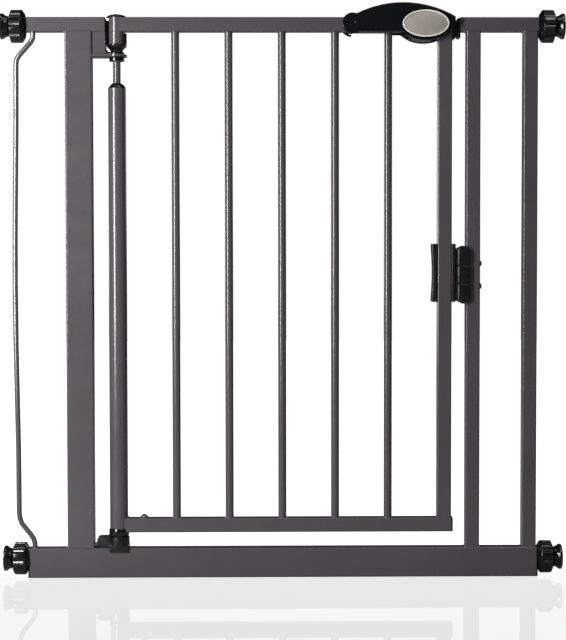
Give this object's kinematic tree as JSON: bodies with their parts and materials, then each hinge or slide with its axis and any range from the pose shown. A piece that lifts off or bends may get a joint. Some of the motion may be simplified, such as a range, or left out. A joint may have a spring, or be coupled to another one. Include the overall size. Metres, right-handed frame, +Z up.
{
  "type": "stair gate",
  "caption": "Pressure-fit stair gate: U-shaped tube frame with wound wall adjusters, a barred leaf on a pin hinge and a lift-lever latch with a push button.",
  "frame": {"origin": "middle of the gate's width and depth, at the underside of the floor rail", "axes": "+X from the hinge side to the latch side, +Z up; the push button faces -Y"},
  "size_m": [0.752, 0.048, 0.768],
  "materials": {
    "powder_coat": "satin slate-grey powder coat",
    "black_plastic": "moulded black nylon, semi-gloss",
    "zinc_steel": "zinc-plated steel",
    "badge_metal": "satin taupe-silver lacquered badge",
    "foot_rubber": "matt rubber"
  },
  "bodies": {
    "frame": {"base_rail": "powder_coat", "hinge_post": "powder_coat", "top_left_rail": "powder_coat", "hinge_bracket": "powder_coat", "hinge_eye_bush": "black_plastic", "latch_post": "powder_coat", "outer_post": "powder_coat", "top_right_rail": "powder_coat", "gap_bar": "powder_coat", "latch_keeper": "black_plastic", "mid_keeper": "black_plastic", "keeper_bolts": "powder_coat", "hinge_socket": "black_plastic", "socket_screws": "zinc_steel", "pivot_shaft": "zinc_steel", "end_cap_top_left": "black_plastic", "end_cap_bottom_left": "black_plastic", "end_cap_top_right": "black_plastic", "end_cap_bottom_right": "black_plastic"},
    "leaf": {"leaf_top_rail": "powder_coat", "leaf_bottom_rail": "powder_coat", "leaf_stile": "powder_coat", "hinge_tube": "powder_coat", "upper_hinge_tube": "powder_coat", "upper_tube_cap": "black_plastic", "upper_bush": "black_plastic", "hinge_rod": "powder_coat", "tube_cap": "black_plastic", "tube_collar": "black_plastic", "torsion_spring": "zinc_steel", "leaf_bars": "powder_coat", "rail_end_cap": "black_plastic", "stop_bolt": "black_plastic", "stile_block": "black_plastic", "lever_pivot_pin": "zinc_steel", "latch_faceplate": "black_plastic", "bolt_spring": "zinc_steel", "spring_stop": "black_plastic"},
    "lever": {"handle_lever": "black_plastic", "rear_plate": "black_plastic"},
    "bolt": {"latch_bolt": "black_plastic", "bolt_pin": "zinc_steel"},
    "button": {"release_button": "black_plastic", "button_badge": "badge_metal"},
    "spindle_top_left": {"spindle_top_left": "zinc_steel", "foot_top_left": "foot_rubber", "wall_cup_top_left": "black_plastic"},
    "wheel_top_left": {"handwheel_top_left": "black_plastic"},
    "spindle_bottom_left": {"spindle_bottom_left": "zinc_steel", "foot_bottom_left": "foot_rubber", "wall_cup_bottom_left": "black_plastic"},
    "wheel_bottom_left": {"handwheel_bottom_left": "black_plastic"},
    "spindle_top_right": {"spindle_top_right": "zinc_steel", "foot_top_right": "foot_rubber", "wall_cup_top_right": "black_plastic"},
    "wheel_top_right": {"handwheel_top_right": "black_plastic"},
    "spindle_bottom_right": {"spindle_bottom_right": "zinc_steel", "foot_bottom_right": "foot_rubber", "wall_cup_bottom_right": "black_plastic"},
    "wheel_bottom_right": {"handwheel_bottom_right": "black_plastic"}
  },
  "joints": [
    {"name": "leaf_swing", "type": "hinge", "parent": "frame", "child": "leaf", "pos_m": [-0.2215, 0, 0], "axis": [0, 0, 1], "range_deg": [-90, 90], "stiffness_Nm_per_rad": 0.6},
    {"name": "lever_lift", "type": "hinge", "parent": "leaf", "child": "lever", "pos_m": [0.0925, 0, 0.7405], "axis": [0, -1, 0], "range_deg": [0, 4.5], "stiffness_Nm_per_rad": 2, "springref_deg": -5.73},
    {"name": "bolt_slide", "type": "slide", "parent": "leaf", "child": "bolt", "axis": [-1, 0, 0], "range_m": [0, 0.0075], "deforming": ["bolt_spring"]},
    {"name": "button_press", "type": "slide", "parent": "lever", "child": "button", "axis": [0, 1, 0], "range_m": [0, 0.003], "stiffness_N_per_m": 400, "springref_m": -0.003},
    {"name": "wheel_top_left_turn", "type": "hinge", "parent": "frame", "child": "wheel_top_left", "pos_m": [-0.341, 0, 0.7385], "axis": [-1, 0, 0], "range_deg": [0, 10560]},
    {"name": "spindle_top_left_slide", "type": "slide", "parent": "frame", "child": "spindle_top_left", "axis": [-1, 0, 0], "range_m": [0, 0.044]},
    {"name": "wheel_bottom_left_turn", "type": "hinge", "parent": "frame", "child": "wheel_bottom_left", "pos_m": [-0.341, 0, 0.0255], "axis": [-1, 0, 0], "range_deg": [0, 10560]},
    {"name": "spindle_bottom_left_slide", "type": "slide", "parent": "frame", "child": "spindle_bottom_left", "axis": [-1, 0, 0], "range_m": [0, 0.044]},
    {"name": "wheel_top_right_turn", "type": "hinge", "parent": "frame", "child": "wheel_top_right", "pos_m": [0.341, 0, 0.7385], "axis": [1, 0, 0], "range_deg": [0, 10560]},
    {"name": "spindle_top_right_slide", "type": "slide", "parent": "frame", "child": "spindle_top_right", "axis": [1, 0, 0], "range_m": [0, 0.044]},
    {"name": "wheel_bottom_right_turn", "type": "hinge", "parent": "frame", "child": "wheel_bottom_right", "pos_m": [0.341, 0, 0.0255], "axis": [1, 0, 0], "range_deg": [0, 10560]},
    {"name": "spindle_bottom_right_slide", "type": "slide", "parent": "frame", "child": "spindle_bottom_right", "axis": [1, 0, 0], "range_m": [0, 0.044]}
  ],
  "couplings": [
    {"joint": "bolt_slide", "follows": "lever_lift", "m_per_rad": 0.095493},
    {"joint": "spindle_top_left_slide", "follows": "wheel_top_left_turn", "m_per_rad": 0.00023873},
    {"joint": "spindle_bottom_left_slide", "follows": "wheel_bottom_left_turn", "m_per_rad": 0.00023873},
    {"joint": "spindle_top_right_slide", "follows": "wheel_top_right_turn", "m_per_rad": 0.00023873},
    {"joint": "spindle_bottom_right_slide", "follows": "wheel_bottom_right_turn", "m_per_rad": 0.00023873}
  ]
}
